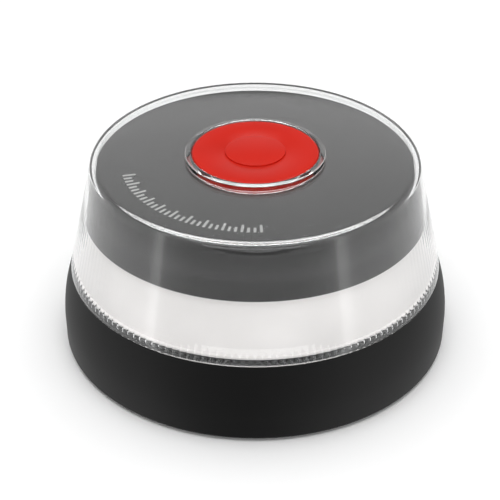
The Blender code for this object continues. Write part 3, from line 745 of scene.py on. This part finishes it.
def make_door():
    """The battery door: a plate with bevelled edges, screw ears and a locating rim."""
    low, bevel, rim_gap, rim_wall = foot_of("battery_door"), 0.35, 0.4, 1.2
    rim = [half - rim_gap for half in OPENING_HALF]

    def plate(shrink):
        return rounded_rectangle([half - shrink for half in RECESS_HALF], RECESS_CORNER - shrink)

    shape = bmesh.new()
    edge, face = plate(DOOR_GAP), plate(DOOR_GAP + bevel)
    add_prism(shape, [(face, low), (edge, low + bevel), (edge, DOOR_TOP)])
    door = finished("bay_door", shape, moulded("door_plastic", (0.010, 0.010, 0.010), 0.5, 0.3, 4500, 0.12))

    def add_ears(shape):
        radius = EAR_RADIUS - DOOR_GAP
        side = [(radius - bevel, low), (radius, low + bevel), (radius, DOOR_TOP)]
        add_at_ears(shape, [(0, low), *side, (0, DOOR_TOP)])

    def add_rim(shape):
        corner, sink, gap = 1.5, 0.5, 0.2
        outline = rounded_rectangle(rim, corner)
        add_prism(shape, [(outline, DOOR_TOP - sink), (outline, FLOOR_TOP - gap)])

    def add_hollow(shape):
        corner = 1.0
        outline = rounded_rectangle([half - rim_wall for half in rim], corner)
        add_prism(shape, [(outline, DOOR_TOP), (outline, FLOOR_TOP + PAST)])

    def add_holes(shape):
        head, flare, flare_top, seat, shank = 2.5, 0.2, low + 0.3, 1.6, 1.3
        sunk_head = [(0, -PAST), (head + flare, -PAST), (head, flare_top), (head, seat)]
        add_at_ears(shape, [*sunk_head, (shank, seat), (shank, FLOOR_TOP), (0, FLOOR_TOP)])

    combine(door, "UNION", add_ears, add_rim)
    combine(door, "DIFFERENCE", add_hollow, add_holes)
    belongs(door, "door", "battery_door")


def make_screw(node, finish):
    """A pan-head screw with a cross recess and thread rings. Its head faces down unless it hangs head up."""
    low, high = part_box(node)
    head_radius, length = (high.x - low.x) / 2 / MM, (high.z - low.z) / MM
    head_height, head_round, pitch = 0.7, 0.25, 0.5
    thread_start, thread_end, tip = 0.8, 1.6, 1.2
    shank = head_radius * 0.48
    root = shank * 0.8
    rings = []
    height = head_height + thread_start
    while height < length - thread_end:
        rings += [(shank, height), (root, height + pitch / 2)]
        height += pitch
    outline = [
        (0, 0),
        *arc((head_radius - head_round, head_round), head_round, -90, 0, 4),
        (head_radius, head_height),
        (shank, head_height),
        *rings,
        (root, length - tip),
        (0, length),
    ]
    screw = turned(f"fitted_{node}", outline, finish, SCREW_STEPS)

    def add_cross(shape):
        arm, half, depth = head_radius * 0.62, head_radius * 0.14, head_height * 0.6
        cross = [(half, half), (half, arm), (-half, arm), (-half, half)]
        cross += [(-arm, half), (-arm, -half), (-half, -half), (-half, -arm)]
        cross += [(half, -arm), (half, -half), (arm, -half), (arm, half)]
        add_prism(shape, [(cross[::-1], -PAST), (cross[::-1], depth)])

    combine(screw, "DIFFERENCE", add_cross)
    head_up = node.startswith(("chassis", "pcb"))
    turn = Matrix.Rotation(math.pi if head_up else 0, 4, "X")
    place = ((low.x + high.x) / 2, (low.y + high.y) / 2, high.z if head_up else low.z)
    screw.data.transform(Matrix.Translation(place) @ turn)
    belongs(screw, "door" if node.startswith("door") else "lamp", node)


def make_screws():
    zinc = metal("zinc_plated_steel", (0.62, 0.62, 0.6), 0.28)
    for node in sorted(frame["nodes"]):
        if "_screw_" in node:
            make_screw(node, zinc)


def cell_sleeve(length):
    """The cells' printed sleeve: a dark body with a copper-coloured band at the button end."""
    dark = (0.03, 0.03, 0.035)
    bands = [
        (0, (0.6, 0.6, 0.58)),
        (0.02, dark),
        (0.66, dark),
        (0.67, (0.55, 0.24, 0.07)),
        (0.97, (0.6, 0.28, 0.08)),
        (0.98, (0.65, 0.65, 0.62)),
    ]
    made, nodes, links = new_material("battery_sleeve")
    shader = principled(nodes, dark, 0.28)
    share = add_range(nodes, links, add_axes(nodes, links)["Z"], given=(0, length * MM))
    links.new(add_ramp(nodes, links, share, bands), shader.inputs["Base Color"])
    fine = add_noise(nodes, links, 1800, 2.0)
    add_bump(nodes, links, fine, shader, 0.03)
    return made


def make_cells():
    """Four cells along Y that face either way in turn, with a rounded shoulder, a button and a sleeve."""
    low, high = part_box("battery_cell_1")
    radius, length = (high.x - low.x) / 2 / MM, (high.y - low.y) / MM
    foot_dish, foot_rim, foot_round = 0.05, 0.9, 0.4
    top_rim, top_round, top_dish = 1.1, 0.5, 0.15
    button_radius, button_round, button_rise, button_root = 2.0, 0.3, 1.0, 0.1
    shoulder = length - button_rise
    outline = [
        (0, foot_dish),
        (radius - foot_rim, 0),
        *arc((radius - foot_round, foot_round), foot_round, -90, 0, 3),
        *arc((radius - top_round, shoulder - top_round), top_round, 0, 90, 4),
        (radius - top_rim, shoulder - top_dish),
        (button_radius, shoulder - button_root),
        *arc((button_radius - button_round, length - button_round), button_round, 0, 90, 3),
        (0, length),
    ]
    sleeve = cell_sleeve(length)
    for i in range(1, 5):
        node = f"battery_cell_{i}"
        low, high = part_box(node)
        cell = turned(f"sleeved_cell_{i}", outline, sleeve, CELL_STEPS)
        forward = i % 2 == 1
        cell.rotation_euler = (math.radians(-90 if forward else 90), 0, 0)
        cell.location = ((low.x + high.x) / 2, low.y if forward else high.y, (low.z + high.z) / 2)
        belongs(cell, "lamp", node)


def dress_cad_nodes():
    """Detailed materials for the CAD nodes that stay."""
    finishes = {
        "soft_touch_black": moulded("black_plastic", (0.012, 0.012, 0.012), 0.5, 0.3),
        "dark_grey_plastic": moulded("grey_plastic", (0.05, 0.05, 0.05), 0.5),
        "white_diffuser_plastic": moulded("white_plastic", (0.8, 0.8, 0.79), 0.5),
        "black_rubber": moulded("rubber", (0.015, 0.015, 0.015), 0.8, 0.3, 4000, 0.12),
        "zinc_plated_steel": metal("zinc_steel", (0.62, 0.62, 0.6), 0.3),
        "nickel_contact": metal("nickel", (0.72, 0.7, 0.66), 0.22),
        "circuit_board": moulded("green_board", (0.02, 0.12, 0.06), 0.4),
        "led_package": moulded("led_yellow", (0.85, 0.8, 0.6), 0.35),
        "antenna_ceramic": moulded("ceramic_patch", (0.55, 0.47, 0.35), 0.6),
        "lead_insulation": moulded("wire_red", (0.35, 0.03, 0.03), 0.45),
    }
    slots = {part["node"]: part["material_slot"] for part in frame["record"]["subparts"]}
    for node, cad_object in frame["nodes"].items():
        finish = finishes.get(slots[node])
        if finish:
            for holder in cad_object.material_slots:
                holder.material = finish


# ---- Studio, in metres -----------------------------------------------------------------------------------

# The world's glow in reflections, at degrees round from the front on either side of a middle that SIDE_SHIFT
# moves sideways. PEAK is the glow that a full white in the ramp stands for.
PEAK = 2.5
SIDE_SHIFT = 0.117
SIDE_GLOW = (
    (0, 0.15),
    (30, 0.2),
    (38, 0.36),
    (46, 0.55),
    (52, 0.8),
    (54.5, 1.1),
    (57, 2.3),
    (60, 2.3),
    (65, 1.3),
    (70, 1.05),
    (90, 1.0),
    (115, 1.0),
)

# Grey levels that multiply that glow, from the horizon at 0 to straight up at 1.
HEIGHT_GLOW = ((0, 1), (0.42, 1), (0.5, 0.62), (0.6, 0.3), (1, 0.2))

# How bright the glow is for light that falls on matt surfaces, beside what reflections show.
DIFFUSE_SHARE = 0.4

FLOOR_HALF = 4
CAMERA_LENS = 112.8
CAMERA_PLACE = (0, -0.3145, 0.2254)
CAMERA_AIM = (-0.00122, 0, 0.0209)


def make_world():
    """White behind the object. Its reflections see a dim front, a bright back and two bright side strips."""
    world = bpy.data.worlds.new("studio")
    bpy.context.scene.world = world
    world.use_nodes = True
    nodes, links = world.node_tree.nodes, world.node_tree.links
    axes = add_axes(nodes, links, "Generated")
    side = add_math(nodes, links, "ABSOLUTE", add_math(nodes, links, "ADD", axes["X"], SIDE_SHIFT))
    front = add_math(nodes, links, "MULTIPLY", axes["Y"], -1)
    turn = add_math(nodes, links, "ARCTAN2", side, front)
    share = add_math(nodes, links, "DIVIDE", turn, math.pi)
    around = add_ramp(nodes, links, share, greys((degrees / 180, glow / PEAK) for degrees, glow in SIDE_GLOW))
    height = add_ramp(nodes, links, axes["Z"], greys(HEIGHT_GLOW))
    glow = add_mix(nodes, links, "MULTIPLY", 1, around, height)
    path = nodes.new("ShaderNodeLightPath").outputs
    dimmed = add_mix(nodes, links, "MULTIPLY", path["Is Diffuse Ray"], glow, (*[DIFFUSE_SHARE] * 3, 1))
    seen = add_math(nodes, links, "MAXIMUM", path["Is Camera Ray"], path["Is Transmission Ray"])
    colour = add_mix(nodes, links, "MIX", seen, dimmed, (*[1 / PEAK] * 3, 1))
    links.new(colour, nodes["Background"].inputs["Color"])
    nodes["Background"].inputs["Strength"].default_value = PEAK


def add_aimed(data, place, target):
    """Puts a light or a camera at a place, looking at a target."""
    made = bpy.data.objects.new(data.name, data)
    made.location = place
    made.rotation_euler = (Vector(target) - Vector(place)).to_track_quat("-Z", "Y").to_euler()
    bpy.context.collection.objects.link(made)
    return made


def make_light(name, place, target, size, radiance, only_glints=False):
    """A flat softbox of a given radiance, which shows only in reflections or else only lights surfaces."""
    data = bpy.data.lights.new(name, "AREA")
    data.shape = "RECTANGLE"
    data.size, data.size_y = size
    data.energy = radiance * math.pi * size[0] * size[1]
    lamp = add_aimed(data, place, target)
    lamp.visible_glossy = only_glints
    lamp.visible_diffuse = not only_glints
    lamp.visible_camera = False


def make_floor():
    corners = [(-1, -1), (1, -1), (1, 1), (-1, 1)]
    shape = bmesh.new()
    shape.faces.new([shape.verts.new((x * FLOOR_HALF, y * FLOOR_HALF, 0)) for x, y in corners])
    made, nodes, _ = new_material("studio_floor")
    principled(nodes, (0.95, 0.95, 0.95), 0.9, specular=0.0)
    ground = finished("studio_floor", shape, made)
    ground.visible_glossy = False


def make_studio():
    make_world()
    make_light("softbox_glint", (0, 0.414, 0.928), (0, 0, 0.04), (1.3, 0.47), 8, only_glints=True)
    make_light("softbox_top", (0, 0.1, 1.2), (0, 0, 0), (1.6, 1.6), 2.5)
    make_light("front_fill", (0, -1.2, 0.4), (0, 0, 0.03), (1.6, 0.8), 1.8)
    make_floor()


def make_camera():
    data = bpy.data.cameras.new("camera")
    data.lens = CAMERA_LENS
    data.sensor_width = 36
    data.clip_start = 0.01
    bpy.context.scene.camera = add_aimed(data, CAMERA_PLACE, CAMERA_AIM)


def main():
    bpy.context.scene.view_settings.view_transform = "Standard"
    make_camera()
    make_studio()
    make_dome()
    make_cap()
    make_ticks()
    make_diffuser()
    make_seal()
    make_button()
    make_button_spring()
    make_base()
    make_pad()
    make_door()
    make_screws()
    make_cells()
    dress_cad_nodes()


main()
